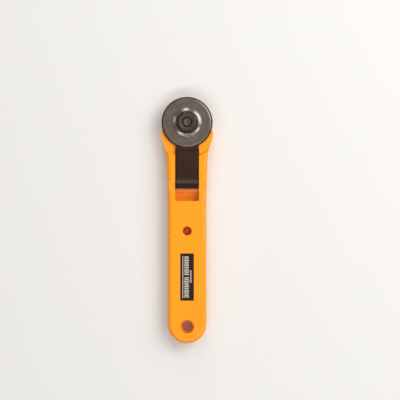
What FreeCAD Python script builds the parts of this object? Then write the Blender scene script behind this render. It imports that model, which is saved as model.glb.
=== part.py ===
import FreeCAD, Part
import math
import os
import Sketcher
from FreeCAD import Vector

# Straight-handled rotary cutter for 28 mm blades, lying on its back.
# +Z comes out of the front face, +Y points to the cutting end, +X to the right.
# The origin is under the middle of the object, on the surface it lies on.
# Every piece is drawn from the blade's axle, so Y distances are measured from the axle.

SIZES = {
    # overall
    "axle_y": 56.5,
    "handle_thick": 10.0,
    "split_height": 5.0,
    "wall": 1.8,
    # handle outline
    "tail_radius": 11.15,
    "tail_centre": 116.6,
    "grip_top": 44.5,
    "taper_top": 21.5,
    "taper_half": 11.95,
    "shoulder_half": 14.9,
    "shoulder_down": 6.5,
    "shoulder_radius": 14.0,
    "corner_radius": 5.0,
    "head_radius": 10.0,
    "edge_round": 2.6,
    "seam_chamfer": 0.2,
    # sunken head floor
    "head_floor": 7.6,
    "recess_radius": 19.6,
    "recess_slope": 1.0,
    "recess_lip": 0.35,
    # guard channel
    "channel_half": 6.9,
    "channel_floor": 6.4,
    "channel_end": 45.4,
    "channel_top": 15.2,
    "channel_corner": 0.8,
    "ridge_down": 38.4,
    "ridge_width": 1.6,
    "ridge_crown": 0.15,
    "ridge_height": 0.35,
    "pocket_top": 40.2,
    "pocket_floor": 5.0,
    "pocket_wall": 1.4,
    "scallop_radius": 8.0,
    "scallop_depth": 0.7,
    "scallop_down": 36.7,
    # guard
    "guard_radius": 14.75,
    "guard_bottom": 7.7,
    "guard_top": 9.0,
    "guard_travel": 5.0,
    "stem_half": 6.75,
    "stem_top": 9.8,
    "stem_bottom": 6.5,
    "stem_end": 38.1,
    "stem_edge": 0.7,
    "stem_step": 0.8,
    "rim_edge": 0.25,
    "relief_gap": 0.2,
    "foot_half": 2.5,
    "foot_top": 24.4,
    "foot_length": 6.0,
    "foot_bottom": 4.9,
    "ramp_foot": 31.2,
    "ramp_crest": 35.3,
    "ramp_top": 11.4,
    "crest_run": 0.3,
    "crest_round": 0.12,
    "ledge_run": 0.5,
    "ledge_rise": 0.7,
    "ledge_end": 1.6,
    "slide_gap": 0.1,
    # guard keeper
    "keeper_flat": 5.4,
    "keeper_reach": 6.4,
    "keeper_drop": 0.5,
    "keeper_thick": 0.5,
    "keeper_width": 9.0,
    "keeper_corner": 0.6,
    "keeper_screw_radius": 0.8,
    "keeper_screw_head": 1.6,
    "keeper_screw_height": 1.0,
    "keeper_screw_tip": 6.9,
    # axle stack
    "bolt_head_radius": 6.5,
    "bolt_head_thick": 1.5,
    "bolt_head_gap": 0.3,
    "bolt_recess": 1.9,
    "neck_half": 3.2,
    "shank_radius": 3.2,
    "shank_flat": 2.6,
    "shank_top": 10.5,
    "thread_radius": 2.5,
    "thread_pitch": 0.8,
    "thread_cut": 0.4,
    "thread_half": 0.3,
    "bolt_top": 14.1,
    "bolt_edge": 0.4,
    "collar_radius": 4.0,
    "collar_edge": 0.15,
    "blade_bottom": 9.1,
    "blade_thick": 0.3,
    "blade_radius": 14.0,
    "blade_bore": 3.25,
    "blade_bevel": 0.7,
    "washer_radius": 8.9,
    "washer_thick": 0.5,
    "washer_dish": 0.7,
    "washer_lip": 0.8,
    "washer_rise": 2.3,
    "washer_bend": 0.8,
    "nut_radius": 6.6,
    "nut_height": 3.8,
    "nut_shoulder": 0.8,
    "nut_face": 1.9,
    "nut_edge": 0.3,
    "flute_radius": 1.3,
    "flute_depth": 0.55,
    "insert_radius": 3.6,
    "insert_height": 3.1,
    "insert_lift": 0.1,
    "insert_cover": 0.5,
    "insert_edge": 0.3,
    "running_fit": 0.05,
    # fasteners and trim
    "screw_down": 62.7,
    "well_radius": 2.65,
    "well_bottom": 4.2,
    "well_wall": 1.2,
    "boss_top": 3.0,
    "boss_wall": 1.9,
    "screw_head_radius": 1.8,
    "screw_head_height": 1.2,
    "screw_radius": 1.1,
    "screw_tip": 1.0,
    "screw_way": 0.2,
    "cross_half": 0.25,
    "hang_down": 118.0,
    "hang_radius": 3.9,
    "hang_back_radius": 3.1,
    "rim_round": 0.4,
    "label_down": 89.3,
    "label_half_width": 3.9,
    "label_half_length": 13.6,
    "label_thick": 0.15,
    "label_recess": 0.1,
    "label_corner": 0.4,
    "peg_radius": 1.2,
    "peg_height": 1.4,
    "peg_wall": 1.0,
    "peg_end_gap": 0.1,
    "peg_side": 7.0,
    "head_peg_down": 50.4,
    "tail_peg_down": 105.5,
    "rib_first": 72.0,
    "rib_gap": 12.0,
    "rib_half": 0.6,
    "rib_relief": 0.4,
    "back_cavity_top": 19.0,
}

OVERLAP = 0.2  # how far an added feature starts inside the one that carries it
CLEAR = 1.0  # how far a cut starts or ends beyond the material


class Size:
    """A length as a number and as the spreadsheet formula that gives it."""

    def __init__(self, value, formula):
        self.value = value
        self.formula = formula

    def __add__(self, other):
        other = as_size(other)
        return Size(self.value + other.value, f"({self.formula} + {other.formula})")

    def __sub__(self, other):
        other = as_size(other)
        return Size(self.value - other.value, f"({self.formula} - {other.formula})")

    def __mul__(self, factor):
        return Size(self.value * factor, f"({self.formula} * {factor})")

    def __neg__(self):
        return self * -1


def as_size(thing):
    return thing if isinstance(thing, Size) else Size(float(thing), str(float(thing)))


def dim(name):
    return Size(SIZES[name], f"dims.{name}")


def make_sheet(doc):
    sheet = doc.addObject("Spreadsheet::Sheet", "dims")
    for row, (name, value) in enumerate(SIZES.items(), start=1):
        sheet.set(f"A{row}", name)
        sheet.set(f"B{row}", str(value))
        sheet.setAlias(f"B{row}", name)
    doc.recompute()


# ---- sketch and feature helpers ----

def new_body(doc, label, down=0):
    """A body whose own origin lies on the axle, or a stated distance down the handle from it."""
    body = doc.addObject("PartDesign::Body", label)
    body.Label = label
    body.setExpression("Placement.Base.y", (dim("axle_y") - down).formula)
    return body


def new_sketch(body, name, role="XY_Plane", lift=None):
    sketch = body.newObject("Sketcher::SketchObject", name)
    planes = [f for f in body.Origin.OriginFeatures if f.Role == role]
    sketch.AttachmentSupport = (planes[0], [""])
    sketch.MapMode = "FlatFace"
    if lift is not None:
        sketch.AttachmentOffset = FreeCAD.Placement(Vector(0, 0, lift.value), FreeCAD.Rotation())
        sketch.setExpression("AttachmentOffset.Base.z", lift.formula)
    return sketch


def bind(sketch, kind, refs, size):
    """Add one dimension and tie it to its formula."""
    index = sketch.addConstraint(Sketcher.Constraint(kind, *refs, size.value))
    sketch.setExpression(f"Constraints[{index}]", size.formula)


def pin(sketch, geometry, point, across, along):
    """Hold one sketch point at its place from the sketch origin."""
    for kind, axis, size in (("DistanceX", -2, as_size(across)), ("DistanceY", -1, as_size(along))):
        if size.value == 0:
            sketch.addConstraint(Sketcher.Constraint("PointOnObject", geometry, point, axis))
        elif size.value > 0:
            bind(sketch, kind, (-1, 1, geometry, point), size)
        else:
            bind(sketch, kind, (geometry, point, -1, 1), -size)


def add_circle(sketch, radius, across=0, along=0):
    radius, across, along = as_size(radius), as_size(across), as_size(along)
    centre = Vector(across.value, along.value, 0)
    ring = sketch.addGeometry(Part.Circle(centre, Vector(0, 0, 1), radius.value), False)
    pin(sketch, ring, 3, across, along)
    bind(sketch, "Radius", (ring,), radius)


def add_polygon(sketch, points):
    corners = [(as_size(x), as_size(y)) for x, y in points]
    spots = [Vector(x.value, y.value, 0) for x, y in corners]
    lines = [sketch.addGeometry(Part.LineSegment(a, b), False)
             for a, b in zip(spots, spots[1:] + spots[:1])]
    for line, following in zip(lines, lines[1:] + lines[:1]):
        sketch.addConstraint(Sketcher.Constraint("Coincident", line, 2, following, 1))
    for line, (x, y) in zip(lines, corners):
        pin(sketch, line, 1, x, y)


def add_box(sketch, left, right, low, high):
    add_polygon(sketch, [(left, low), (right, low), (right, high), (left, high)])


def add_line(sketch, start, end):
    return sketch.addGeometry(Part.LineSegment(start, end), False), 1, 2


def add_arc(sketch, centre, start, end):
    """An arc of under half a turn, or exactly half a turn anticlockwise, from start to end.

    Sketch arcs always run anticlockwise, so the ends swap when this one runs the other way.
    """
    turns = [math.atan2(spot.y - centre.y, spot.x - centre.x) for spot in (start, end)]
    sweep = (turns[1] - turns[0]) % (2 * math.pi)
    radius = (start - centre).Length
    circle = Part.Circle(centre, Vector(0, 0, 1), radius)
    if sweep < math.pi + 1e-6:
        return sketch.addGeometry(Part.ArcOfCircle(circle, turns[0], turns[0] + sweep), False), 1, 2
    back = 2 * math.pi - sweep
    return sketch.addGeometry(Part.ArcOfCircle(circle, turns[1], turns[1] + back), False), 2, 1


def join(sketch, kind, one, two):
    """Join the end of one (geometry, start, end) piece to the start of the next."""
    sketch.addConstraint(Sketcher.Constraint(kind, one[0], one[2], two[0], two[1]))


def add_slot(sketch, half_width, low, high):
    """An upright slot with full-round ends whose centres lie at low and high."""
    half_width, low, high = as_size(half_width), as_size(low), as_size(high)
    right, left = Vector(half_width.value, 0, 0), Vector(-half_width.value, 0, 0)
    top, foot = Vector(0, high.value, 0), Vector(0, low.value, 0)
    loop = [
        add_line(sketch, foot + right, top + right),
        add_arc(sketch, top, top + right, top + left),
        add_line(sketch, top + left, foot + left),
        add_arc(sketch, foot, foot + left, foot + right),
    ]
    for one, two in zip(loop, loop[1:] + loop[:1]):
        join(sketch, "Tangent", one, two)
    pin(sketch, loop[1][0], 3, 0, high)
    pin(sketch, loop[3][0], 3, 0, low)
    bind(sketch, "Radius", (loop[1][0],), half_width)


def pad(body, sketch, length, symmetric=False):
    feature = body.newObject("PartDesign::Pad", f"{sketch.Name}_pad")
    feature.Profile = sketch
    length = as_size(length)
    feature.Length = length.value
    feature.setExpression("Length", length.formula)
    if symmetric:
        feature.SideType = "Symmetric"
    return feature


def pocket(body, sketch, length=None, upward=True, symmetric=False):
    """Cut away the sketch; upward cuts towards +Z, and no length cuts through everything."""
    feature = body.newObject("PartDesign::Pocket", f"{sketch.Name}_cut")
    feature.Profile = sketch
    feature.Reversed = upward
    if length is None:
        feature.Type = "ThroughAll"
    else:
        length = as_size(length)
        feature.Length = length.value
        feature.setExpression("Length", length.formula)
    if symmetric:
        feature.SideType = "Symmetric"
    return feature


def spin(body, sketch, kind="Revolution"):
    """Turn a profile drawn on the XZ plane about the axle."""
    feature = body.newObject(f"PartDesign::{kind}", f"{sketch.Name}_{kind.lower()}")
    feature.Profile = sketch
    feature.ReferenceAxis = (sketch, ["V_Axis"])
    feature.Angle = 360
    return feature


def dress(body, base, kind, edges, size):
    """Fillet or chamfer the named edges of the last feature."""
    feature = body.newObject(f"PartDesign::{kind}", f"{base.Name}_{kind.lower()}")
    feature.Base = (base, edges)
    prop = "Radius" if kind == "Fillet" else "Size"
    size = as_size(size)
    setattr(feature, prop, size.value)
    feature.setExpression(prop, size.formula)
    return feature


def edges_where(feature, test):
    """Names of the edges whose bounding box passes the test, in the body's own frame."""
    return [f"Edge{i}" for i, edge in enumerate(feature.Shape.Edges, start=1) if test(edge.BoundBox)]


def flat_at(height):
    """A test for edges that lie in the plane at one height."""
    return lambda box: abs(box.ZMin - height) < 1e-4 and abs(box.ZMax - height) < 1e-4


# ---- handle ----

def add_outline(sketch):
    """The handle's outline: round tail, slow taper, flared shoulders, narrow round head."""
    tail, tail_y, grip_y = dim("tail_radius"), -dim("tail_centre"), -dim("grip_top")
    taper_x, taper_y = dim("taper_half"), -dim("taper_top")
    crest_x, crest_y = dim("shoulder_half"), -dim("shoulder_down")
    big, small, head = dim("shoulder_radius"), dim("corner_radius"), dim("head_radius")

    low = Vector(tail.value, tail_y.value, 0)
    grip_end = Vector(tail.value, grip_y.value, 0)
    taper_end = Vector(taper_x.value, taper_y.value, 0)
    crest = Vector(crest_x.value, crest_y.value, 0)
    big_centre = crest - Vector(big.value, 0, 0)
    small_centre = crest - Vector(small.value, 0, 0)
    # the hollow flare is tangent to the taper's top and to the shoulder
    taper = (taper_end - grip_end).normalize()
    outward = Vector(taper.y, -taper.x, 0)
    offset = taper_end - big_centre
    flare = (offset.Length ** 2 - big.value ** 2) / (2 * (big.value - offset.dot(outward)))
    flare_centre = taper_end + outward * flare
    inflection = big_centre + (flare_centre - big_centre).normalize() * big.value
    # the straight run from the shoulder to the head touches both of their circles
    aim = math.atan2(small_centre.y, small_centre.x)
    aim += math.acos((head.value - small.value) / small_centre.Length)
    touch = Vector(math.cos(aim), math.sin(aim), 0)
    corner_end = small_centre + touch * small.value
    head_start = touch * head.value

    chains = []
    for hand in (1, -1):
        spots = [low, grip_end, taper_end, inflection, crest, corner_end, head_start,
                 flare_centre, big_centre, small_centre]
        (p_low, p_grip, p_taper, p_flex, p_crest, p_corner, p_head,
         c_flare, c_big, c_small) = [Vector(p.x * hand, p.y, 0) for p in spots]
        grip = add_line(sketch, p_low, p_grip)
        slope = add_line(sketch, p_grip, p_taper)
        hollow = add_arc(sketch, c_flare, p_taper, p_flex)
        shoulder = add_arc(sketch, c_big, p_flex, p_crest)
        corner = add_arc(sketch, c_small, p_crest, p_corner)
        run = add_line(sketch, p_corner, p_head)
        sketch.addConstraint(Sketcher.Constraint("Vertical", grip[0]))
        join(sketch, "Coincident", grip, slope)
        for one, two in ((slope, hollow), (hollow, shoulder), (shoulder, corner), (corner, run)):
            join(sketch, "Tangent", one, two)
        bind(sketch, "DistanceY", (grip[0], 2, -1, 1), -grip_y)
        pin(sketch, slope[0], 2, taper_x * hand, taper_y)
        pin(sketch, shoulder[0], shoulder[2], crest_x * hand, crest_y)
        bind(sketch, "DistanceY", (shoulder[0], 3, -1, 1), -crest_y)
        bind(sketch, "Radius", (shoulder[0],), big)
        bind(sketch, "Radius", (corner[0],), small)
        chains.append((grip, run, p_low, p_head))
    (grip_r, run_r, low_r, head_r), (grip_l, run_l, low_l, head_l) = chains
    top = add_arc(sketch, Vector(0, 0, 0), head_r, head_l)
    end = add_arc(sketch, Vector(0, tail_y.value, 0), low_l, low_r)
    sketch.addConstraint(Sketcher.Constraint("Coincident", top[0], 3, -1, 1))
    bind(sketch, "Radius", (top[0],), head)
    pin(sketch, end[0], 3, 0, tail_y)
    bind(sketch, "Radius", (end[0],), tail)
    sketch.addConstraint(Sketcher.Constraint("Tangent", run_r[0], run_r[2], top[0], top[1]))
    sketch.addConstraint(Sketcher.Constraint("Tangent", run_l[0], run_l[2], top[0], top[2]))
    sketch.addConstraint(Sketcher.Constraint("Tangent", grip_l[0], grip_l[1], end[0], end[1]))
    sketch.addConstraint(Sketcher.Constraint("Tangent", grip_r[0], grip_r[1], end[0], end[2]))


def add_cavity(sketch, top_y):
    """The hollow of one shell: straight sides, round tail, cut off square at top_y."""
    inner = dim("tail_radius") - dim("wall")
    tail_y, top_y = -dim("tail_centre"), as_size(top_y)
    left, right = Vector(-inner.value, 0, 0), Vector(inner.value, 0, 0)
    tail, top = Vector(0, tail_y.value, 0), Vector(0, top_y.value, 0)
    end = add_arc(sketch, tail, tail + left, tail + right)
    side = add_line(sketch, tail + right, top + right)
    cross = add_line(sketch, top + right, top + left)
    back = add_line(sketch, top + left, tail + left)
    join(sketch, "Tangent", end, side)
    join(sketch, "Coincident", side, cross)
    join(sketch, "Coincident", cross, back)
    join(sketch, "Tangent", back, end)
    sketch.addConstraint(Sketcher.Constraint("Horizontal", cross[0]))
    bind(sketch, "DistanceY", (cross[0], 1, -1, 1), -top_y)
    pin(sketch, end[0], 3, 0, tail_y)
    bind(sketch, "Radius", (end[0],), inner)


def peg_spots():
    return [(side, down) for down in (dim("head_peg_down"), dim("tail_peg_down"))
            for side in (dim("peg_side"), -dim("peg_side"))]


def pad_circles(body, name, radius, spots, low, high):
    """Round columns at (across, down) spots, from one height to another."""
    for number, (across, down) in enumerate(spots):
        sketch = new_sketch(body, f"{name}_{number}", lift=as_size(low))
        add_circle(sketch, radius, across, -as_size(down))
        pad(body, sketch, as_size(high) - low)


def cut_circles(body, name, radius, spots, low, high=None):
    """Round holes at (across, down) spots, upward from one height to another or right through."""
    for number, (across, down) in enumerate(spots):
        sketch = new_sketch(body, f"{name}_{number}", lift=as_size(low))
        add_circle(sketch, radius, across, -as_size(down))
        pocket(body, sketch, None if high is None else as_size(high) - low)


def pad_ribs(body, name, low, high):
    """Cross ribs from side wall to side wall, from one height to another."""
    reach = dim("tail_radius") - dim("wall") + OVERLAP
    half = dim("rib_half")
    for step in range(3):
        down = dim("rib_first") + dim("rib_gap") * step
        rib = new_sketch(body, f"{name}_{step}", lift=low)
        add_box(rib, -reach, reach, -down - half, -down + half)
        pad(body, rib, high - low)


def cut_box(body, name, half_width, top_y, end_y, low, height):
    sketch = new_sketch(body, name, lift=as_size(low))
    add_box(sketch, -half_width, half_width, end_y, top_y)
    return pocket(body, sketch, height)


def shell_blank(doc, label, low, height, rounded_height):
    """The outline's full block with its face edge rounded and its seam edge broken."""
    body = new_body(doc, label)
    sketch = new_sketch(body, f"{label}_outline", lift=low)
    add_outline(sketch)
    block = pad(body, sketch, height)
    doc.recompute()
    rounded = dress(body, block, "Fillet", edges_where(block, flat_at(rounded_height)),
                    dim("edge_round"))
    doc.recompute()
    seam = edges_where(rounded, flat_at(dim("split_height").value))
    dress(body, rounded, "Chamfer", seam, dim("seam_chamfer"))
    return body


def make_front_shell(doc):
    split, thick, floor = dim("split_height"), dim("handle_thick"), dim("head_floor")
    body = shell_blank(doc, "handle_front_shell", split, thick - split, thick.value)

    # the sunken head floor, with its sloped step
    step = new_sketch(body, "head_recess", role="XZ_Plane")
    rim, lip = dim("recess_radius"), dim("recess_lip")
    brow = rim + dim("recess_slope")
    add_polygon(step, [(0, floor), (rim - lip, floor), (rim, floor + lip * 0.4),
                       (brow - lip * 0.4, thick - lip), (brow + lip, thick),
                       (brow + lip, thick + CLEAR), (0, thick + CLEAR)])
    spin(body, step, "Groove")

    # the channel with its detent ridge, and the slot for the guard's foot
    side, ground = dim("channel_half"), dim("channel_floor")
    cut_box(body, "channel", side, -dim("channel_top"), -dim("channel_end"), ground, thick)
    # behind the ridge the channel drops to a deeper pocket, on a floor that hangs below the seam
    deep, shelf = dim("pocket_floor"), dim("pocket_wall")
    hanging = new_sketch(body, "pocket_floor", lift=deep - shelf)
    add_box(hanging, -side - shelf, side + shelf, -dim("channel_end") - shelf,
            -dim("pocket_top") + shelf * 0.5)
    pad(body, hanging, split + OVERLAP - deep + shelf)
    cut_box(body, "pocket", side, -dim("pocket_top"), -dim("channel_end"), deep, thick)
    doc.recompute()
    end_y, high = -dim("channel_end").value, (thick - deep).value * 0.5
    corners = edges_where(body.Tip, lambda box: box.ZLength > high
                          and abs(box.YMax - end_y) < 1e-4)
    dress(body, body.Tip, "Fillet", corners, dim("channel_corner"))

    # the ridge is steep towards the guard and falls away gently behind it
    ridge = new_sketch(body, "detent_ridge", role="YZ_Plane")
    front, sunk = -dim("ridge_down"), ground - OVERLAP
    crown, crest = dim("ridge_crown"), ground + dim("ridge_height")
    add_polygon(ridge, [(front - dim("ridge_width"), sunk), (front, sunk), (front, ground),
                        (front - crown, crest), (front - crown * 2, crest),
                        (front - dim("ridge_width"), ground)])
    pad(body, ridge, (side + OVERLAP) * 2, symmetric=True)
    foot_top, gap = dim("foot_top"), dim("slide_gap")
    foot_end = foot_top + dim("foot_length") + dim("guard_travel")
    cut_box(body, "foot_slot", dim("foot_half") + gap, gap - foot_top, -foot_end - gap,
            split - CLEAR, ground)

    # the shallow thumb scallop across the face
    scallop = new_sketch(body, "scallop", role="YZ_Plane")
    radius = dim("scallop_radius")
    add_circle(scallop, radius, -dim("scallop_down"), thick + radius - dim("scallop_depth"))
    pocket(body, scallop, symmetric=True)

    # the hollow grip with its bosses and ribs
    roof = thick - dim("wall")
    cavity = new_sketch(body, "cavity", lift=split)
    add_cavity(cavity, -dim("channel_end") - dim("wall"))
    pocket(body, cavity, roof - split)
    well, hang = [(0, dim("screw_down"))], [(0, dim("hang_down"))]
    root = roof + OVERLAP
    pad_circles(body, "screw_tube", dim("well_radius") + dim("well_wall"), well,
                dim("boss_top"), root)
    pad_circles(body, "hang_tube", dim("hang_radius") + dim("wall"), hang, split, root)
    pad_circles(body, "peg_column", dim("peg_radius") + dim("peg_wall"), peg_spots(), split, root)
    pad_ribs(body, "front_rib", split + dim("rib_relief"), root)

    # holes and recesses
    cut_circles(body, "hang_hole", dim("hang_radius"), hang, 0)
    fit = dim("running_fit")
    cut_circles(body, "screw_way", dim("screw_radius") + dim("screw_way"), well, 0)
    cut_circles(body, "screw_well", dim("well_radius"), well, dim("well_bottom"), thick + CLEAR)
    cut_circles(body, "bolt_way", dim("shank_radius") + fit, [(0, 0)], 0)
    cut_circles(body, "peg_socket", dim("peg_radius") + fit, peg_spots(), split - CLEAR,
                split + dim("peg_height") + dim("peg_end_gap"))
    label_y = -dim("label_down")
    half_length = dim("label_half_length") + fit
    cut_box(body, "label_recess", dim("label_half_width") + fit, label_y + half_length,
            label_y - half_length, thick - dim("label_recess"), CLEAR)
    doc.recompute()

    # softened rims
    face = thick.value
    hang_y, well_y = -dim("hang_down").value, -dim("screw_down").value
    rims = edges_where(body.Tip, lambda box: flat_at(face)(box)
                       and box.XLength < 8 and box.YLength > 4
                       and min(abs(box.Center.y - hang_y), abs(box.Center.y - well_y)) < 0.1)
    dress(body, body.Tip, "Fillet", rims, dim("rim_round"))
    return body


def make_back_shell(doc):
    split, wall = dim("split_height"), dim("wall")
    body = shell_blank(doc, "handle_back_shell", as_size(0), split, 0)
    cavity = new_sketch(body, "back_cavity", lift=wall)
    add_cavity(cavity, -dim("back_cavity_top"))
    pocket(body, cavity, split)
    well, hang = [(0, dim("screw_down"))], [(0, dim("hang_down"))]
    base = wall - OVERLAP
    pad_circles(body, "screw_boss", dim("screw_radius") + dim("boss_wall"), well, base,
                dim("boss_top"))
    pad_circles(body, "back_hang_tube", dim("hang_radius") + wall, hang, base, split)
    pad_circles(body, "back_column", dim("peg_radius") + dim("peg_wall"), peg_spots(), base, split)
    pad_circles(body, "peg", dim("peg_radius"), peg_spots(), split - OVERLAP,
                split + dim("peg_height"))
    pad_ribs(body, "back_rib", base, split - dim("rib_relief"))
    cut_circles(body, "back_hang_hole", dim("hang_back_radius"), hang, -CLEAR)
    cut_circles(body, "pilot", dim("screw_radius"), well, dim("screw_tip") - dim("bolt_head_gap"),
                dim("boss_top") + CLEAR)
    cut_circles(body, "bolt_recess", dim("bolt_head_radius") + dim("bolt_head_gap"), [(0, 0)],
                -CLEAR, dim("bolt_recess"))
    neck = dim("neck_half") + dim("running_fit")
    cut_box(body, "bolt_square", neck, neck, -neck, 0, split + CLEAR)
    doc.recompute()
    hang_y, seam = -dim("hang_down").value, split.value
    inside = dim("hang_radius").value * 2
    rims = edges_where(body.Tip, lambda box: flat_at(0)(box) and box.XLength < 15
                       and box.YLength > 4 and min(abs(box.Center.y), abs(box.Center.y - hang_y)) < 0.1)
    rims += edges_where(body.Tip, lambda box: flat_at(seam)(box) and box.YLength > 4
                        and box.XLength < inside and abs(box.Center.y - hang_y) < 0.1)
    dress(body, body.Tip, "Fillet", rims, dim("rim_round"))
    return body


# ---- guard ----

def make_guard(doc):
    body = new_body(doc, "blade_guard")
    low, high = dim("guard_bottom"), dim("guard_top")
    disc = new_sketch(body, "disc", lift=low)
    add_circle(disc, dim("guard_radius"))
    plate = pad(body, disc, high - low)
    doc.recompute()
    dress(body, plate, "Chamfer", edges_where(plate, flat_at(high.value)), dim("rim_edge"))

    # the stem's long section: thin under the blade, full depth in the channel, relieved at its end
    stem = new_sketch(body, "stem", role="YZ_Plane")
    step, root_y = dim("stem_step"), -dim("guard_radius") * 0.7
    deep_y = -dim("channel_top") - step
    end_y = -dim("stem_end")
    relief_y = end_y + dim("guard_travel") + step
    top, bottom = dim("stem_top"), dim("stem_bottom")
    relief = dim("channel_floor") + dim("ridge_height") + dim("relief_gap")
    add_polygon(stem, [(root_y, low), (deep_y, low), (deep_y, bottom), (relief_y, bottom),
                       (relief_y, relief), (end_y, relief), (end_y, top),
                       (deep_y - step, top), (deep_y, high), (root_y, high)])
    bar = pad(body, stem, dim("stem_half") * 2, symmetric=True)
    doc.recompute()
    half, level = dim("stem_half").value, top.value
    long_edges = edges_where(bar, lambda box: flat_at(level)(box) and box.YLength > 5
                             and abs(abs(box.Center.x) - half) < 1e-4)
    dress(body, bar, "Chamfer", long_edges, dim("stem_edge"))

    # the hollow thumb ramp, its crest and the low ledge behind it
    ramp = new_sketch(body, "thumb_ramp", role="YZ_Plane")
    foot_y, crest_y, crest_z = -dim("ramp_foot"), -dim("ramp_crest"), dim("ramp_top")
    foot = Vector(foot_y.value, top.value, 0)
    crest = Vector(crest_y.value, crest_z.value, 0)
    run, rise = foot.x - crest.x, crest.y - foot.y
    centre = foot + Vector(0, (run ** 2 + rise ** 2) / (2 * rise), 0)
    hollow = add_arc(ramp, centre, foot, crest)
    ledge_z = top + dim("ledge_rise")
    ledge_y, sill = crest_y - dim("ledge_end"), dim("crest_round")
    back = [(crest_y - dim("crest_run"), crest_z), (crest_y - dim("ledge_run"), ledge_z),
            (ledge_y, ledge_z), (ledge_y - sill, top + sill), (end_y, top + sill),
            (end_y, top - CLEAR), (foot_y, top - CLEAR)]
    spots = [Vector(as_size(y).value, as_size(z).value, 0) for y, z in back]
    lines = [add_line(ramp, a, b) for a, b in zip([crest] + spots, spots + [foot])]
    loop = [hollow] + lines
    for one, two in zip(loop, loop[1:] + loop[:1]):
        join(ramp, "Coincident", one, two)
    ramp.addConstraint(Sketcher.Constraint("Vertical", hollow[0], hollow[1], hollow[0], 3))
    pin(ramp, hollow[0], hollow[1], foot_y, top)
    pin(ramp, hollow[0], hollow[2], crest_y, crest_z)
    for line, (along, height) in zip(lines, back):
        pin(ramp, line[0], 2, along, height)
    block = pad(body, ramp, (dim("stem_half") - dim("stem_edge")) * 2, symmetric=True)
    doc.recompute()
    crest_level = crest_z.value
    crest_edges = edges_where(block, flat_at(crest_level))
    dress(body, block, "Fillet", crest_edges, dim("crest_round"))

    # the foot that reaches through the channel floor to the keeper
    foot_pad = new_sketch(body, "foot", lift=dim("foot_bottom"))
    foot_high = -dim("foot_top")
    add_box(foot_pad, -dim("foot_half"), dim("foot_half"), foot_high - dim("foot_length"), foot_high)
    pad(body, foot_pad, bottom - dim("foot_bottom") + OVERLAP)
    cut_circles(body, "foot_hole", dim("keeper_screw_radius"), [(0, foot_middle())], 0,
                dim("keeper_screw_tip") + dim("peg_end_gap"))

    # the long slot that lets the guard slide past the axle
    slot = new_sketch(body, "axle_slot")
    add_slot(slot, dim("collar_radius") + dim("slide_gap"), 0, dim("guard_travel"))
    pocket(body, slot)
    return body


def foot_middle():
    return dim("foot_top") + dim("foot_length") * 0.5


def make_keeper(doc):
    """A spring plate with its ends turned down, held against the foot."""
    body = new_body(doc, "guard_keeper", foot_middle())
    sketch = new_sketch(body, "keeper_section", role="YZ_Plane")
    top, thick = dim("foot_bottom"), dim("keeper_thick")
    flat, reach, drop = dim("keeper_flat"), dim("keeper_reach"), dim("keeper_drop")
    add_polygon(sketch, [(-reach, top - thick - drop), (-flat, top - thick), (flat, top - thick),
                         (reach, top - thick - drop), (reach, top - drop), (flat, top),
                         (-flat, top), (-reach, top - drop)])
    pad(body, sketch, dim("keeper_width"), symmetric=True)
    hole = dim("keeper_screw_radius") + dim("running_fit")
    cut_circles(body, "keeper_hole", hole, [(0, 0)], 0)
    doc.recompute()
    corners = edges_where(body.Tip, lambda box: box.XLength < 1e-4 and box.YLength < 1e-4
                          and abs(box.Center.x) > hole.value * 2)
    dress(body, body.Tip, "Fillet", corners, dim("keeper_corner"))
    return body


# ---- axle, blade and nut ----

def make_bolt(doc):
    body = new_body(doc, "axle_bolt")
    seat, head = dim("bolt_recess"), dim("bolt_head_radius")
    low = seat - dim("bolt_head_thick")
    shank, shank_top = dim("shank_radius"), dim("shank_top")
    thread, top = dim("thread_radius"), dim("bolt_top")
    edge = dim("bolt_edge")
    profile = new_sketch(body, "bolt_profile", role="XZ_Plane")
    add_polygon(profile, [(0, low), (head - edge, low), (head, low + edge), (head, seat),
                          (shank, seat), (shank, shank_top), (thread, shank_top),
                          (thread, top - edge), (thread - edge, top), (0, top)])
    spin(body, profile)
    square = new_sketch(body, "square_neck", lift=seat - OVERLAP)
    neck = dim("neck_half")
    add_box(square, -neck, neck, -neck, neck)
    pad(body, square, dim("split_height") - seat)
    for name, side in (("flat_left", -1), ("flat_right", 1)):
        flat = new_sketch(body, name, lift=dim("split_height"))
        near, far = sorted((dim("shank_flat") * side, dim("shank_flat") * (side * 2)),
                           key=lambda size: size.value)
        add_box(flat, near, far, -neck - CLEAR, neck + CLEAR)
        pocket(body, flat, dim("shank_top") - dim("split_height"))
    for turn in range(4):
        ring = new_sketch(body, f"thread_{turn}", role="XZ_Plane")
        middle = shank_top + dim("thread_pitch") * (turn + 0.6)
        cut, half = dim("thread_cut"), dim("thread_half")
        add_polygon(ring, [(thread - cut, middle), (thread, middle - half),
                           (thread + OVERLAP, middle - half), (thread + OVERLAP, middle + half),
                           (thread, middle + half)])
        spin(body, ring, "Groove")
    return body


def make_turned(doc, label, points, down=0):
    """A piece turned on a lathe from its half profile, given as (radius, height) points."""
    body = new_body(doc, label, down)
    profile = new_sketch(body, f"{label}_profile", role="XZ_Plane")
    add_polygon(profile, points)
    spin(body, profile)
    return body


def make_collar(doc):
    inner, outer = dim("shank_radius") + dim("running_fit"), dim("collar_radius")
    low, high, edge = dim("head_floor"), dim("blade_bottom"), dim("collar_edge")
    return make_turned(doc, "axle_collar", [(inner, low), (outer, low), (outer, high - edge),
                                            (outer - edge, high), (inner, high)])


def make_blade(doc):
    bore, edge, bevel = dim("blade_bore"), dim("blade_radius"), dim("blade_bevel")
    low, thick = dim("blade_bottom"), dim("blade_thick")
    middle, land = low + thick * 0.5, thick * 0.07
    return make_turned(doc, "blade", [(bore, low), (edge - bevel, low), (edge, middle - land),
                                      (edge, middle + land), (edge - bevel, low + thick),
                                      (bore, low + thick)])


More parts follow.
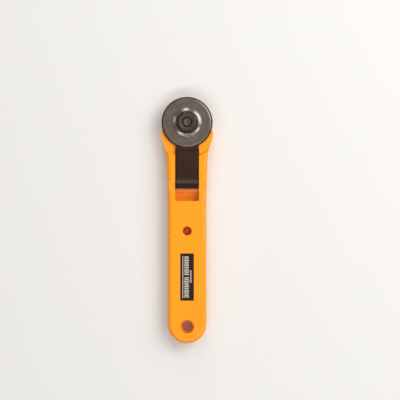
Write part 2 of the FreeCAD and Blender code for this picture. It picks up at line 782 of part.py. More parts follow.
def washer_top():
    return dim("blade_bottom") + dim("blade_thick") + dim("washer_dish") + dim("washer_thick")


def make_washer(doc):
    """A dished spring washer, keyed to the bolt's two flats."""
    rim, thick, dish = dim("washer_radius"), dim("washer_thick"), dim("washer_dish")
    low = dim("blade_bottom") + dim("blade_thick")
    lip, rise, lean = rim - dim("washer_lip"), rim - dim("washer_rise"), thick * 0.3
    body = make_turned(doc, "spring_washer", [
        (0, low + dish), (rise, low + dish), (lip, low), (rim, low), (rim, low + thick),
        (lip + lean, low + thick), (rise + lean, low + dish + thick), (0, low + dish + thick)])
    bore = new_sketch(body, "keyed_bore")
    fit = dim("running_fit")
    radius, flat = dim("shank_radius") + fit, dim("shank_flat") + fit
    half = math.sqrt(radius.value ** 2 - flat.value ** 2)
    corners = [Vector(flat.value * x, half * y, 0) for x, y in ((1, -1), (1, 1), (-1, 1), (-1, -1))]
    centre = Vector(0, 0, 0)
    loop = [add_line(bore, corners[0], corners[1]), add_arc(bore, centre, corners[1], corners[2]),
            add_line(bore, corners[2], corners[3]), add_arc(bore, centre, corners[3], corners[0])]
    for one, two in zip(loop, loop[1:] + loop[:1]):
        join(bore, "Coincident", one, two)
    for arc in (loop[1], loop[3]):
        bore.addConstraint(Sketcher.Constraint("Coincident", arc[0], 3, -1, 1))
        bind(bore, "Radius", (arc[0],), radius)
    for line in (loop[0], loop[2]):
        bore.addConstraint(Sketcher.Constraint("Vertical", line[0]))
    bind(bore, "DistanceX", (-1, 1, loop[0][0], 1), flat)
    bind(bore, "DistanceX", (loop[2][0], 1, -1, 1), flat)
    pocket(body, bore)
    doc.recompute()
    inside, outside = rise.value * 2 - OVERLAP, (lip + lean).value * 2 + OVERLAP
    bends = edges_where(body.Tip, lambda box: abs(box.ZLength) < 1e-4
                        and inside < box.XLength < outside)
    dress(body, body.Tip, "Fillet", bends, dim("washer_bend"))
    return body


def make_knob(doc):
    base = washer_top()
    top, rim, seat = base + dim("nut_height"), dim("nut_radius"), dim("insert_radius")
    ledge = base + dim("insert_lift") + dim("insert_height")
    edge, shoulder = dim("nut_edge"), top - dim("nut_shoulder")
    face, well = rim - dim("nut_face"), seat - dim("insert_cover")
    body = make_turned(doc, "nut_knob", [
        (seat, base), (rim - edge, base), (rim, base + edge), (rim, shoulder - edge),
        (rim - edge, shoulder), (face + edge, shoulder), (face, top), (well, top), (well, ledge),
        (seat, ledge)])
    flute = new_sketch(body, "flute", lift=base)
    radius = dim("flute_radius")
    add_circle(flute, radius, rim + radius - dim("flute_depth"), 0)
    cut = pocket(body, flute, dim("nut_height"))
    doc.recompute()
    pattern = body.newObject("PartDesign::PolarPattern", "flutes")
    pattern.Originals = [cut]
    pattern.Axis = (flute, ["N_Axis"])
    pattern.Angle = 360
    pattern.Occurrences = 8
    body.Tip = pattern
    return body


def make_insert(doc):
    base, outer = washer_top(), dim("insert_radius")
    bore, height = dim("thread_radius") + dim("running_fit"), dim("insert_height")
    low, edge = base + dim("insert_lift"), dim("insert_edge")
    return make_turned(doc, "nut_insert", [
        (bore, low + edge), (bore + edge, low), (outer, low), (outer, low + height),
        (bore + edge, low + height), (bore, low + height - edge)])


# ---- fasteners and label ----

def make_handle_screw(doc):
    head, root = dim("screw_head_radius"), dim("screw_radius")
    tip, seat = dim("screw_tip"), dim("well_bottom")
    height = dim("screw_head_height")
    top = seat + height
    body = make_turned(doc, "handle_screw", [
        (0, tip), (root, tip + root * 0.7), (root, seat), (head, seat), (head, top - height * 0.5),
        (head * 0.85, top - height * 0.15), (head * 0.6, top), (0, top)], dim("screw_down"))
    cut_cross(body, top - height * 0.6, head * 0.6)
    return body


def make_keeper_screw(doc):
    head, root = dim("keeper_screw_head"), dim("keeper_screw_radius")
    height, tip = dim("keeper_screw_height"), dim("keeper_screw_tip")
    seat = dim("foot_bottom") - dim("keeper_thick")
    low = seat - height
    body = make_turned(doc, "keeper_screw", [
        (0, low), (head * 0.7, low), (head, low + height * 0.4), (head, seat), (root, seat),
        (root, tip - root * 0.7), (0, tip)], foot_middle())
    cut_cross(body, low - height * 0.4, head * 0.6)
    return body


def cut_cross(body, low, reach):
    """A cross recess: two crossed slots, one millimetre of cut upward from a height."""
    half = dim("cross_half")
    for name, across, along in (("cross_a", reach, half), ("cross_b", half, reach)):
        sketch = new_sketch(body, f"{body.Label}_{name}", lift=low)
        add_box(sketch, -across, across, -along, along)
        pocket(body, sketch, CLEAR)


def make_label(doc):
    body = new_body(doc, "label_plate", dim("label_down"))
    sketch = new_sketch(body, "label_outline", lift=dim("handle_thick") - dim("label_recess"))
    width, length = dim("label_half_width"), dim("label_half_length")
    add_box(sketch, -width, width, -length, length)
    plate = pad(body, sketch, dim("label_thick"))
    doc.recompute()
    corners = edges_where(plate, lambda box: box.ZLength > dim("label_thick").value * 0.5)
    dress(body, plate, "Fillet", corners, dim("label_corner"))
    return body


MAKERS = [make_back_shell, make_front_shell, make_guard, make_keeper, make_bolt, make_collar,
          make_blade, make_washer, make_knob, make_insert, make_handle_screw, make_keeper_screw,
          make_label]


def main():
    doc = FreeCAD.newDocument("RotaryCutter")
    make_sheet(doc)
    bodies = [make(doc) for make in MAKERS]
    doc.recompute()
    for item in doc.Objects:
        if "Invalid" in item.State or "Error" in item.State:
            raise RuntimeError(f"{item.Name} did not compute: {item.State}")
    os.makedirs("parts", exist_ok=True)
    for body in bodies:
        shape = body.Shape
        if shape.isNull() or not shape.isValid():
            raise RuntimeError(f"{body.Label} has no valid shape")
        shape.exportStep(f"parts/{body.Label}.step")
        print(f"{body.Label}: {len(shape.Solids)} solid, {shape.Volume:.1f} mm3")


main()
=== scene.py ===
import math

import bmesh
import bpy
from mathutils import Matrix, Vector


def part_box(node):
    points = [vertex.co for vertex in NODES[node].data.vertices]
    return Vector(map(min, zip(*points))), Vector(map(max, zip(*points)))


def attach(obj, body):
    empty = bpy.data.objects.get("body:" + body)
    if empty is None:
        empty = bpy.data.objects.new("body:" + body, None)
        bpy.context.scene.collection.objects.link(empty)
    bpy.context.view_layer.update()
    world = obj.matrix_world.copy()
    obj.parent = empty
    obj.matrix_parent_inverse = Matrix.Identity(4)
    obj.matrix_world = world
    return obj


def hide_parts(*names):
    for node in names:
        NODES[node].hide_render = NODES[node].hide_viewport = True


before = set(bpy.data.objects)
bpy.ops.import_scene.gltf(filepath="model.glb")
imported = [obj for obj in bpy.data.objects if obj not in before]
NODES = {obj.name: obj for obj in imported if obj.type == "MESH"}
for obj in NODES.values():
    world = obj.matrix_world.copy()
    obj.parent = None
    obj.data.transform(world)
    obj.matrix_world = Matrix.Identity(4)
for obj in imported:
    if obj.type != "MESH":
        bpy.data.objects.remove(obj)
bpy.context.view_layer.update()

# The cutter lies on its back: +Z out of the front face, +Y towards the blade. All is in metres.
MM = 0.001
MICRON = 0.000001


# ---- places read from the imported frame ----

def middle_of(node):
    low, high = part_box(node)
    return (low + high) / 2


AXLE = middle_of("blade")
WASHER_LOW, WASHER_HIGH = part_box("spring_washer")
NUT_LOW, NUT_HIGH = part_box("nut_knob")
INSERT_LOW, INSERT_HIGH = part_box("nut_insert")
BOLT_LOW, BOLT_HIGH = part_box("axle_bolt")


# ---- node helpers ----

class Shader:
    """A short way to build one node material around a Principled shader."""

    def __init__(self, name):
        self.material = bpy.data.materials.new(name)
        self.material.use_nodes = True
        self.tree = self.material.node_tree
        self.bsdf = self.tree.nodes["Principled BSDF"]
        self.place = self.node("ShaderNodeTexCoord").outputs["Object"]

    def node(self, kind, **settings):
        made = self.tree.nodes.new(kind)
        for key, value in settings.items():
            setattr(made, key, value)
        return made

    def link(self, source, target):
        self.tree.links.new(source, target)

    def set(self, **values):
        """Plain values on the shader's own sockets."""
        for key, value in values.items():
            self.bsdf.inputs[key.replace("_", " ")].default_value = value

    def drive(self, **sources):
        """Node outputs linked into the shader's own sockets."""
        for key, source in sources.items():
            self.link(source, self.bsdf.inputs[key.replace("_", " ")])

    def base_colour(self):
        """What the Base Color socket is linked to so far."""
        return self.bsdf.inputs["Base Color"].links[0].from_socket

    def mapped(self, scale, shift=(0, 0, 0)):
        """Object coordinates, stretched and shifted."""
        made = self.node("ShaderNodeMapping")
        made.inputs["Scale"].default_value = scale
        made.inputs["Location"].default_value = shift
        self.link(self.place, made.inputs["Vector"])
        return made.outputs["Vector"]

    def split(self, vector):
        made = self.node("ShaderNodeSeparateXYZ")
        self.link(vector, made.inputs[0])
        return made.outputs

    def noise(self, scale, detail=2.0, roughness=0.5, vector=None):
        made = self.node("ShaderNodeTexNoise")
        made.inputs["Scale"].default_value = scale
        made.inputs["Detail"].default_value = detail
        made.inputs["Roughness"].default_value = roughness
        self.link(self.place if vector is None else vector, made.inputs["Vector"])
        return made.outputs["Fac"]

    def ranged(self, value, source, target):
        """The value, taken from one (low, high) range to another and held at its ends."""
        made = self.node("ShaderNodeMapRange")
        self.link(value, made.inputs["Value"])
        for key, number in zip(("From Min", "From Max", "To Min", "To Max"), (*source, *target)):
            made.inputs[key].default_value = number
        return made.outputs["Result"]

    def mix(self, factor, one, two):
        """Two colours mixed; 6, 7 and 2 are the Mix node's colour sockets."""
        made = self.node("ShaderNodeMix", data_type="RGBA")
        self.link(factor, made.inputs["Factor"])
        for socket, value in ((made.inputs[6], one), (made.inputs[7], two)):
            if isinstance(value, tuple):
                socket.default_value = (*value, 1.0)
            else:
                self.link(value, socket)
        return made.outputs[2]

    def math(self, operation, one, two=None):
        made = self.node("ShaderNodeMath", operation=operation)
        for socket, value in zip(made.inputs, (one, two)):
            if value is None:
                continue
            if isinstance(value, (int, float)):
                socket.default_value = value
            else:
                self.link(value, socket)
        return made.outputs[0]

    def bump(self, height, distance, strength=1.0, under=None):
        made = self.node("ShaderNodeBump")
        made.inputs["Distance"].default_value = distance
        made.inputs["Strength"].default_value = strength
        self.link(height, made.inputs["Height"])
        if under is not None:
            self.link(under, made.inputs["Normal"])
        return made.outputs["Normal"]

    def radius_from(self, centre):
        """Distance from a vertical axis, in metres."""
        moved = self.mapped((1, 1, 0), (-centre.x, -centre.y, 0))
        length = self.node("ShaderNodeVectorMath", operation="LENGTH")
        self.link(moved, length.inputs[0])
        return length.outputs["Value"]

    def around(self, centre, rings, turns):
        """Coordinates round a vertical axis: fine across the radius, slow along the turn."""
        parts = self.split(self.mapped((1, 1, 1), (-centre.x, -centre.y, 0)))
        angle = self.math("ARCTAN2", parts["Y"], parts["X"])
        joined = self.node("ShaderNodeCombineXYZ")
        for axis, value, scale in (("X", self.radius_from(centre), rings),
                                   ("Y", self.math("COSINE", angle), turns),
                                   ("Z", self.math("SINE", angle), turns)):
            self.link(self.math("MULTIPLY", value, scale), joined.inputs[axis])
        return joined.outputs[0]


# ---- materials ----
# Noise scales are in waves per metre. A noise value stays mostly between 0.3 and 0.7, so ranged()
# reads it from about there.

MIDDLE = (0.3, 0.7)
WHOLE = (0, 1)


def moulded_plastic(name, colour, deep_colour, roughness, grain, gloss, depth=7 * MICRON,
                    wear=1.0, glow=0.0, wear_and_top_light=None, painted_recess_shade=None):
    """Injection-moulded plastic: soft colour drift, fine grain, faint handling scratches.

    grain and depth are the moulded grain's fineness and height, wear is how strongly the
    handling shows, and glow is how much light scatters below the surface.
    """
    shader = Shader(name)
    drift = shader.ranged(shader.noise(55, 3, 0.55), (0.35, 0.65), WHOLE)
    shader.drive(Base_Color=shader.mix(drift, colour, deep_colour))
    scratches = shader.noise(1, 4, 0.6, shader.mapped((2600, 240, 2600)))
    marks = shader.ranged(scratches, (0.62, 0.74), (0, 0.14 * wear))
    uneven = 0.04 * wear
    cloud = shader.ranged(shader.noise(700, 3), MIDDLE, (roughness - uneven, roughness + uneven))
    peel = shader.bump(shader.noise(300, 1), 30 * MICRON, 0.06)
    shader.drive(Roughness=shader.math("ADD", cloud, marks),
                 Normal=shader.bump(shader.noise(grain, 2), depth, 0.4, peel))
    shader.set(IOR=1.5, Specular_IOR_Level=gloss)
    # painted light: the top of a piece lighter, as if lit from above
    if wear_and_top_light:
        paint_top_light(shader, *wear_and_top_light)
    # painted shade: a deeper colour in a recess, where less light reaches
    if painted_recess_shade:
        paint_recess_shade(shader, *painted_recess_shade)
    if glow:
        shader.set(Subsurface_Weight=glow, Subsurface_Radius=(1.0, 0.35, 0.08),
                   Subsurface_Scale=1.2 * MM)
    return shader.material


def paint_top_light(shader, low, high, colour):
    """Painted light on the top of a piece: lighten it in patches from one height up to another."""
    wear_and_top_light = shader.ranged(shader.split(shader.place)["Z"], (low, high), (0, 0.8))
    patchy = shader.ranged(shader.noise(1400, 4, 0.65), (0.35, 0.6), (0.45, 1))
    share = shader.math("MULTIPLY", wear_and_top_light, patchy)
    shader.drive(Base_Color=shader.mix(share, shader.base_colour(), colour))


def paint_recess_shade(shader, centre, half, colour):
    """Painted shade in a recess: deepen the colour inside a box with soft sides, where less light
    reaches.
    """
    soft = 1.2 * MM
    share = 0.9
    away = shader.node("ShaderNodeVectorMath", operation="ABSOLUTE")
    shader.link(shader.mapped((1, 1, 1), tuple(-value for value in centre)), away.inputs[0])
    parts = shader.split(away.outputs[0])
    for axis, reach in zip("XYZ", half):
        inside = shader.ranged(parts[axis], (reach, reach - soft), WHOLE)
        share = shader.math("MULTIPLY", inside, share)
    shader.drive(Base_Color=shader.mix(share, shader.base_colour(), colour))


def turned_steel(name, colour, bright, roughness, rings=26000):
    """Steel finished on a lathe or wheel: fine rings round the axle, uneven sheen."""
    shader = Shader(name)
    fine = shader.noise(1, 3, 0.65, shader.around(AXLE, rings, 2.2))
    broad = shader.noise(1, 2, 0.6, shader.around(AXLE, rings / 16, 0.9))
    tone = shader.math("ADD", shader.ranged(fine, MIDDLE, (0, 0.5)),
                       shader.ranged(broad, (0.35, 0.65), (0, 0.5)))
    cloud = shader.ranged(shader.noise(260, 4), MIDDLE, (-0.05, 0.06))
    sheen = shader.ranged(fine, MIDDLE, (roughness - 0.05, roughness + 0.07))
    shader.drive(Base_Color=shader.mix(tone, colour, bright),
                 Roughness=shader.math("ADD", sheen, cloud),
                 Normal=shader.bump(fine, 4 * MICRON, 0.35))
    shader.set(Metallic=1.0)
    return shader.material


def tumbled_steel(name, colour, dark, roughness):
    """Barrel-polished plated steel: tiny random dents and pits, slightly cloudy."""
    shader = Shader(name)
    cloud = shader.ranged(shader.noise(900, 4, 0.6), (0.35, 0.7), WHOLE)
    dents = shader.bump(shader.noise(1100, 2), 10 * MICRON, 0.12)
    shader.drive(Base_Color=shader.mix(cloud, colour, dark),
                 Roughness=shader.ranged(shader.noise(2600, 3), MIDDLE,
                                         (roughness - 0.05, roughness + 0.08)),
                 Normal=shader.bump(shader.noise(9000, 1), 3 * MICRON, 0.15, dents))
    shader.set(Metallic=1.0)
    return shader.material


def printed_film(name, colour, wear_and_top_light):
    """Printed film with a faint orange-peel surface."""
    shader = Shader(name)
    rubbed = shader.ranged(shader.noise(1800, 4), (0.35, 0.75), WHOLE)
    shader.drive(Base_Color=shader.mix(rubbed, colour, wear_and_top_light),
                 Roughness=shader.ranged(shader.noise(600, 3), MIDDLE, (0.3, 0.42)),
                 Normal=shader.bump(shader.noise(2400, 2), 8 * MICRON, 0.4))
    shader.set(Specular_IOR_Level=0.22)
    return shader.material


def paper_floor(name, colour, deep):
    """A matt pale studio sweep."""
    shader = Shader(name)
    shader.drive(Base_Color=shader.mix(shader.noise(900, 3), colour, deep),
                 Normal=shader.bump(shader.noise(2500, 2), 20 * MICRON, 0.25))
    shader.set(Roughness=0.85)
    return shader.material


# the pocket behind the guard's stem: its middle, half its size, and the colour of the painted shade
# there
POCKET_SHADE = ((AXLE.x, AXLE.y - 42 * MM, 4.8 * MM), (8 * MM, 7 * MM, 3 * MM), (0.82, 0.22, 0.002))
# the nut's top face with painted light: where the painted light starts, where it is full, and its
# colour
NUT_TOP_LIGHT = (NUT_HIGH.z - 0.55 * MM, NUT_HIGH.z - 0.15 * MM, (0.07, 0.049, 0.036))

# the handle's plastic carries painted shade on the pocket floor behind the guard's stem
HANDLE_PLASTIC = moulded_plastic("handle_orange_plastic", (0.96, 0.33, 0.004), (0.93, 0.308, 0.003),
                                 roughness=0.28, grain=3600, gloss=0.42, depth=2 * MICRON,
                                 wear=0.5, glow=0.08, painted_recess_shade=POCKET_SHADE)
GUARD_PLASTIC = moulded_plastic("guard_black_plastic", (0.036, 0.016, 0.0075),
                                (0.028, 0.0125, 0.006), roughness=0.3, grain=4200, gloss=0.2)
# the nut's plastic carries painted light on its top face
NUT_PLASTIC = moulded_plastic("nut_black_plastic", (0.017, 0.0105, 0.007), (0.012, 0.0075, 0.005),
                              roughness=0.36, grain=5200, gloss=0.36, wear_and_top_light=NUT_TOP_LIGHT)
BLADE_STEEL = turned_steel("blade_ground_steel", (0.168, 0.133, 0.111), (0.302, 0.25, 0.218), 0.27)
BOLT_STEEL = turned_steel("bolt_turned_steel", (0.085, 0.068, 0.058), (0.13, 0.106, 0.092), 0.48,
                          rings=14000)
WASHER_STEEL = tumbled_steel("washer_bright_steel", (0.235, 0.212, 0.196), (0.19, 0.171, 0.157),
                             0.23)
# painted reflection: the screws' orange-red colour stands in for orange light bounced from the
# handle's well walls
SCREW_STEEL = tumbled_steel("screw_steel_painted_orange_bounce", (0.72, 0.25, 0.11), (0.5, 0.15, 0.07),
                            0.36)
SPRING_STEEL = tumbled_steel("keeper_spring_steel", (0.42, 0.41, 0.41), (0.25, 0.25, 0.27), 0.35)
INSERT_STEEL = tumbled_steel("insert_black_steel", (0.1, 0.088, 0.078), (0.06, 0.053, 0.047), 0.38)
LABEL_FILM = printed_film("label_dark_film", (0.014, 0.007, 0.003), (0.026, 0.014, 0.008))
LABEL_INK = printed_film("label_pale_ink", (0.62, 0.54, 0.49), (0.4, 0.33, 0.29))
FLOOR_PAPER = paper_floor("floor_pale_paper", (0.74, 0.73, 0.71), (0.7, 0.69, 0.67))


def repaint(node, finish):
    slots = NODES[node].data.materials
    for index in range(len(slots)):
        slots[index] = finish


# ---- mesh helpers ----

def show(thing):
    bpy.context.scene.collection.objects.link(thing)


def add_piece(name, mesh, finish, body, replaced=None):
    piece = bpy.data.objects.new(name, mesh)
    show(piece)
    mesh.materials.append(finish)
    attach(piece, body)
    if replaced:
        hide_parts(replaced)
    return piece


def finish_mesh(name, bm, sharp_degrees):
    bmesh.ops.recalc_face_normals(bm, faces=bm.faces)
    mesh = bpy.data.meshes.new(name)
    bm.to_mesh(mesh)
    bm.free()
    mesh.polygons.foreach_set("use_smooth", [True] * len(mesh.polygons))
    if sharp_degrees:
        mesh.set_sharp_from_angle(angle=math.radians(sharp_degrees))
    return mesh


def edge_broken(node, finish, body, slot, width):
    """The CAD node's own shape with its knife edges broken, as moulded and pressed pieces are."""
    same_point = 0.0005 * MM
    flat_turn, edge_turn = math.radians(0.4), math.radians(28)
    facets, face_weight = 2, 90
    name = f"{node}_finished"
    bm = bmesh.new()
    bm.from_mesh(NODES[node].data)
    bm.transform(NODES[node].matrix_world)
    bmesh.ops.remove_doubles(bm, verts=bm.verts, dist=same_point)
    bmesh.ops.dissolve_degenerate(bm, edges=bm.edges, dist=same_point)
    bmesh.ops.dissolve_limit(bm, angle_limit=flat_turn, verts=bm.verts, edges=bm.edges)
    piece = add_piece(name, finish_mesh(name, bm, None), finish, body, node)
    bevel = piece.modifiers.new("broken_edges", "BEVEL")
    bevel.width = width
    bevel.segments = facets
    bevel.limit_method = "ANGLE"
    bevel.angle_limit = edge_turn
    bevel.miter_outer = "MITER_ARC"
    # large flat faces stay flat, and the narrow edge faces carry the bend
    evener = piece.modifiers.new("even_normals", "WEIGHTED_NORMAL")
    evener.keep_sharp = True
    evener.weight = face_weight


def rounded(corners, steps):
    """A (radius, height) path whose corners are (radius, height, rounding)."""
    path = []
    count = len(corners)
    for index, (x, z, rounding) in enumerate(corners):
        here = Vector((x, z))
        if not rounding:
            path.append(here)
            continue
        before = (Vector(corners[index - 1][:2]) - here).normalized()
        after = (Vector(corners[(index + 1) % count][:2]) - here).normalized()
        half = before.angle(after) / 2
        back = rounding / math.tan(half)
        centre = here + (before + after).normalized() * (rounding / math.sin(half))
        start, end = here + before * back - centre, here + after * back - centre
        first = math.atan2(start.y, start.x)
        swing = math.atan2(end.y, end.x) - first
        swing = (swing + math.pi) % math.tau - math.pi
        for step in range(steps + 1):
            angle = first + swing * step / steps
            path.append(centre + Vector((math.cos(angle), math.sin(angle))) * rounding)
    return path


def lathe(name, path, shape, segments, closed=True, sharp_degrees=32):
    """Turn a path of (radius, height) points, in metres, round the axle.

    shape(radius, height, angle) gives the radius really used there.
    """
    bm = bmesh.new()
    rings = []
    for radius, height in path:
        if radius == 0:
            rings.append([bm.verts.new((AXLE.x, AXLE.y, height))])
            continue
        ring = []
        for step in range(segments):
            angle = math.tau * step / segments
            used = shape(radius, height, angle)
            ring.append(bm.verts.new((AXLE.x + used * math.cos(angle),
                                      AXLE.y + used * math.sin(angle), height)))
        rings.append(ring)
    pairs = list(zip(rings, rings[1:]))
    if closed:
        pairs.append((rings[-1], rings[0]))
    for one, two in pairs:
        for step in range(segments):
            after = (step + 1) % segments
            if len(one) == 1:
                bm.faces.new((one[0], two[step], two[after]))
            elif len(two) == 1:
                bm.faces.new((one[step], two[0], one[after]))
            else:
                bm.faces.new((one[step], two[step], two[after], one[after]))
    return finish_mesh(name, bm, sharp_degrees)


def chord(flat, angle):
    """The radius at which a flat, square to X and this far from the axis, is met."""
    return flat / max(abs(math.cos(angle)), 1e-6)


# ---- nut, washer and bolt ----

def make_nut():
    """The fluted nut: eight soft flutes, a raised face ring and the well round the bolt's end."""
    flutes, flute_depth = 8, 0.62 * MM
    base, top = NUT_LOW.z, NUT_HIGH.z
    rim = (NUT_HIGH.y - NUT_LOW.y) / 2 + 0.1 * MM
    seat = (INSERT_HIGH.x - INSERT_LOW.x) / 2
    ledge = INSERT_HIGH.z + 0.1 * MM
    well = seat - 0.5 * MM
    fluted_from, deepening = rim - 1.4 * MM, 1.0 * MM
    corners = [
        # the foot and the fluted side
        (seat, base, 0), (rim - 0.2 * MM, base, 0.15 * MM), (rim, base + 0.3 * MM, 0.15 * MM),
        (rim, top - 1.6 * MM, 0.4 * MM),
        # the sloping shoulder
        (rim - 0.5 * MM, top - 1.0 * MM, 0.35 * MM), (rim - 1.5 * MM, top - 0.55 * MM, 0.15 * MM),
        # the face ring
        (rim - 1.7 * MM, top, 0.22 * MM), (rim - 2.3 * MM, top - 0.02 * MM, 0.2 * MM),
        # the dip towards the well, and the well down to the insert
        (well + 0.2 * MM, top - 0.22 * MM, 0.12 * MM), (well, top - 0.32 * MM, 0.08 * MM),
        (well, ledge, 0), (seat, ledge, 0),
    ]

    def fluted(radius, height, angle):
        if radius < fluted_from:
            return radius
        wave = 0.5 + 0.5 * math.cos(flutes * angle)
        share = min(1.0, (radius - fluted_from) / deepening)
        return radius - flute_depth * wave ** 3 * share

    mesh = lathe("nut_knob_fluted", rounded(corners, 5), fluted, segments=240)
    add_piece("nut_knob_fluted", mesh, NUT_PLASTIC, "nut", "nut_knob")


def make_washer():
    """The dished spring washer, keyed to the bolt's flats."""
    low, high = WASHER_LOW.z, WASHER_HIGH.z
    rim = (WASHER_HIGH.x - WASHER_LOW.x) / 2
    thick, flat, bore = 0.5 * MM, 2.65 * MM, 3.25 * MM
    corners = [
        # the underside, out to the rim
        (bore, high - thick, 0), (rim - 2.4 * MM, high - thick, 0.9 * MM),
        (rim - 0.85 * MM, low, 0.7 * MM), (rim, low, 0.12 * MM),
        # the top, back to the bore
        (rim, low + thick, 0.2 * MM), (rim - 0.7 * MM, low + thick, 0.7 * MM),
        (rim - 2.15 * MM, high, 0.9 * MM), (bore, high, 0.08 * MM),
    ]

    def keyed(radius, height, angle):
        if radius > bore + 0.2 * MM:
            return radius
        return min(radius, chord(flat + radius - bore, angle))

    mesh = lathe("spring_washer_dished", rounded(corners, 8), keyed, segments=192)
    add_piece("spring_washer_dished", mesh, WASHER_STEEL, "washer", "spring_washer")


def make_bolt():
    """The axle bolt: low domed head, square neck, two flats and a cut thread."""
    low, high = BOLT_LOW.z, BOLT_HIGH.z
    head, dome, dome_steps = (BOLT_HIGH.x - BOLT_LOW.x) / 2, 0.25 * MM, 10
    seat, neck_top, shank_top = low + 1.5 * MM, 5.0 * MM, 10.5 * MM
    shank, flat, thread = 3.2 * MM, 2.6 * MM, 2.5 * MM
    pitch, cut, rows = 0.8 * MM, 0.32 * MM, 96
    thread_end = high - 0.3 * MM
    reach = shank * math.sqrt(2)
    sliver = 1e-9
    path = [(0, low)]
    for step in range(1, dome_steps + 1):
        share = step / dome_steps
        path.append((share * (head - 0.35 * MM), low + dome * share ** 3))
    path += [
        # the head's rim
        (head - 0.12 * MM, low + 0.36 * MM), (head, low + 0.6 * MM), (head, seat - 0.1 * MM),
        (head - 0.1 * MM, seat),
        # the square neck and the shank
        (reach, seat), (reach, neck_top), (shank, neck_top), (shank, shank_top - 0.1 * MM),
        (shank - 0.1 * MM, shank_top), (thread, shank_top),
    ]
    for row in range(rows + 1):
        path.append((thread, shank_top + (thread_end - shank_top) * row / rows))
    # the end, slightly hollow
    path += [(thread - 0.3 * MM, high), (1.1 * MM, high), (0.9 * MM, high - 0.08 * MM),
             (0.4 * MM, high - 0.16 * MM), (0, high - 0.18 * MM)]

    def shaped(radius, height, angle):
        if radius > shank + 0.01 * MM and seat <= height <= neck_top and radius <= reach:
            side = max(abs(math.cos(angle)), abs(math.sin(angle)))
            return min(shank / side, reach - 0.3 * MM)
        if radius > thread and neck_top <= height <= shank_top:
            return min(radius, chord(flat, angle))
        if abs(radius - thread) < sliver and height > shank_top + 0.2 * MM:
            phase = (height / pitch - angle / math.tau) % 1.0
            return radius - cut * (1 - abs(2 * phase - 1)) ** 0.9
        return radius

    mesh = lathe("axle_bolt_threaded", [Vector(point) for point in path], shaped, segments=144,
                 closed=False, sharp_degrees=40)
    add_piece("axle_bolt_threaded", mesh, BOLT_STEEL, "handle", "axle_bolt")


# ---- label print ----

def make_label_print():
    """Plain pale print: one thin rule, a row of broad ticks and a short row of small ones."""
    bm = bmesh.new()
    centre = middle_of("label_plate")
    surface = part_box("label_plate")[1].z
    sunk, raised = surface - 0.01 * MM, surface + 0.02 * MM

    def bar(across, along, width, length):
        """One bar, in mm: its middle from the label's, its size across and along the label."""
        rows = []
        for z in (sunk, raised):
            rows.append([bm.verts.new((centre.x + (across + x * width / 2) * MM,
                                       centre.y + (along + y * length / 2) * MM, z))
                         for x, y in ((-1, -1), (1, -1), (1, 1), (-1, 1))])
        low, high = rows
        bm.faces.new(reversed(low))
        bm.faces.new(high)
        for step in range(4):
            after = (step + 1) % 4
            bm.faces.new((low[step], low[after], high[after], high[step]))

    rule = dict(across=-2.45, along=0, width=0.4, length=24.4)
    bar(**rule)
    ticks, left_out, pitch, across = 24, 12, 1.0, -0.3
    tall, taller, thick, thin = 2.5, 2.9, 0.66, 0.54
    for index in range(ticks):
        if index == left_out:
            continue
        along = (index - (ticks - 1) / 2) * pitch
        bar(across, along, tall if index % 3 else taller, thick if index % 2 else thin)
    small_ticks, first, small_pitch, small_across = 7, 3.4, 1.05, 2.15
    small_width, small_length = 1.0, 0.55
    for index in range(small_ticks):
        bar(small_across, first - index * small_pitch, small_width, small_length)
    mesh = finish_mesh("label_print", bm, sharp_degrees=30)
    add_piece("label_print", mesh, LABEL_INK, "handle")


# ---- pieces that keep their CAD shape ----

BROKEN_EDGES = [  # node, finish, body, slot, width of the broken edge
    ("handle_front_shell", HANDLE_PLASTIC, "handle", "handle_plastic", 0.14 * MM),
    ("handle_back_shell", HANDLE_PLASTIC, "handle", "handle_plastic", 0.12 * MM),
    ("blade_guard", GUARD_PLASTIC, "guard", "guard_plastic", 0.14 * MM),
    ("guard_keeper", SPRING_STEEL, "guard", "spring_steel", 0.08 * MM),
    ("keeper_screw", SCREW_STEEL, "guard", "screw_steel", 0.06 * MM),
    ("handle_screw", SCREW_STEEL, "handle", "screw_steel", 0.06 * MM),
    ("axle_collar", BOLT_STEEL, "handle", "bolt_steel", 0.05 * MM),
]
for row in BROKEN_EDGES:
    edge_broken(*row)
repaint("blade", BLADE_STEEL)
repaint("nut_insert", INSERT_STEEL)
repaint("label_plate", LABEL_FILM)
make_nut()
make_washer()
make_bolt()
make_label_print()


# ---- studio ----

def make_floor():
    half_side = 3.0
    bm = bmesh.new()
    bmesh.ops.create_grid(bm, x_segments=1, y_segments=1, size=half_side)
    mesh = bpy.data.meshes.new("studio_floor")
    bm.to_mesh(mesh)
    bm.free()
    mesh.materials.append(FLOOR_PAPER)
    floor = bpy.data.objects.new("studio_floor", mesh)
    floor.location.z = -0.02 * MM
    show(floor)


SOFTBOXES = [  # name, azimuth (0 is +X, 90 is +Y), elevation, distance, width, height, watts
    ("key_right", 32, 42, 1.0, 0.74, 0.74, 7.2),
    ("bevel_glint", 38, 68, 1.0, 0.1, 0.1, 0.15),
    ("front_wide", -78, 57, 1.1, 1.9, 0.2, 6.0),
    ("back_strip", 95, 29, 1.1, 0.26, 0.8, 3.2),
    ("fill_left", 160, 42, 1.1, 0.3, 0.3, 0.6),
]
WARM_LIGHTS = {"key_right": (1.0, 0.985, 0.96)}


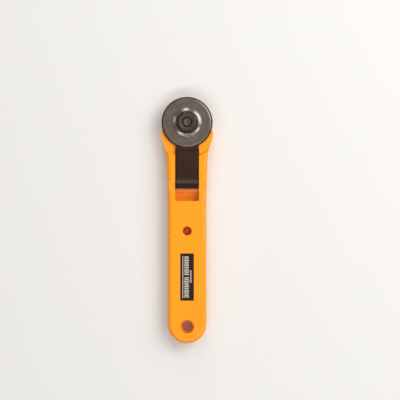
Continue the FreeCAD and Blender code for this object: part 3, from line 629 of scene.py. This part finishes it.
def add_softbox(name, azimuth, elevation, distance, width, height, watts):
    """A soft rectangular light aimed at the object."""
    light = bpy.data.lights.new(name, "AREA")
    light.shape = "RECTANGLE"
    light.size, light.size_y = width, height
    light.energy = watts
    light.color = WARM_LIGHTS.get(name, (1, 1, 1))
    lamp = bpy.data.objects.new(name, light)
    turn, lift = math.radians(azimuth), math.radians(elevation)
    aim = Vector((math.cos(turn) * math.cos(lift), math.sin(turn) * math.cos(lift),
                  math.sin(lift)))
    lamp.location = aim * distance
    lamp.rotation_mode = "QUATERNION"
    lamp.rotation_quaternion = aim.to_track_quat("Z", "Y")
    show(lamp)


def make_world():
    """Soft surround, brighter overhead than low down."""
    world = bpy.data.worlds.new("studio_air")
    world.use_nodes = True
    tree = world.node_tree
    place = tree.nodes.new("ShaderNodeTexCoord")
    split = tree.nodes.new("ShaderNodeSeparateXYZ")
    grade = tree.nodes.new("ShaderNodeMapRange")
    for key, number in (("From Min", 0.35), ("From Max", 0.95), ("To Min", 0.2), ("To Max", 0.5)):
        grade.inputs[key].default_value = number
    tree.links.new(place.outputs["Generated"], split.inputs[0])
    tree.links.new(split.outputs["Z"], grade.inputs["Value"])
    air = tree.nodes["Background"]
    air.inputs["Color"].default_value = (1.0, 0.985, 0.965, 1)
    tree.links.new(grade.outputs["Result"], air.inputs["Strength"])
    bpy.context.scene.world = world


def make_camera():
    """Straight above the front face, the blade's end up."""
    sensor, height = 36.0, 900 * MM
    # the view's width, measured at the height of the handle's front
    view_width, plane = 231.4 * MM, 8 * MM
    right_of_axle, below_axle = 7.46 * MM, 44.83 * MM
    camera = bpy.data.cameras.new("camera")
    camera.sensor_width = sensor
    camera.lens = sensor * (height - plane) / view_width
    camera.clip_start = 10 * MM
    holder = bpy.data.objects.new("camera", camera)
    holder.location = (right_of_axle, AXLE.y - below_axle, height)
    show(holder)
    bpy.context.scene.camera = holder


make_floor()
for row in SOFTBOXES:
    add_softbox(*row)
make_world()
make_camera()
bpy.context.scene.view_settings.view_transform = "Standard"
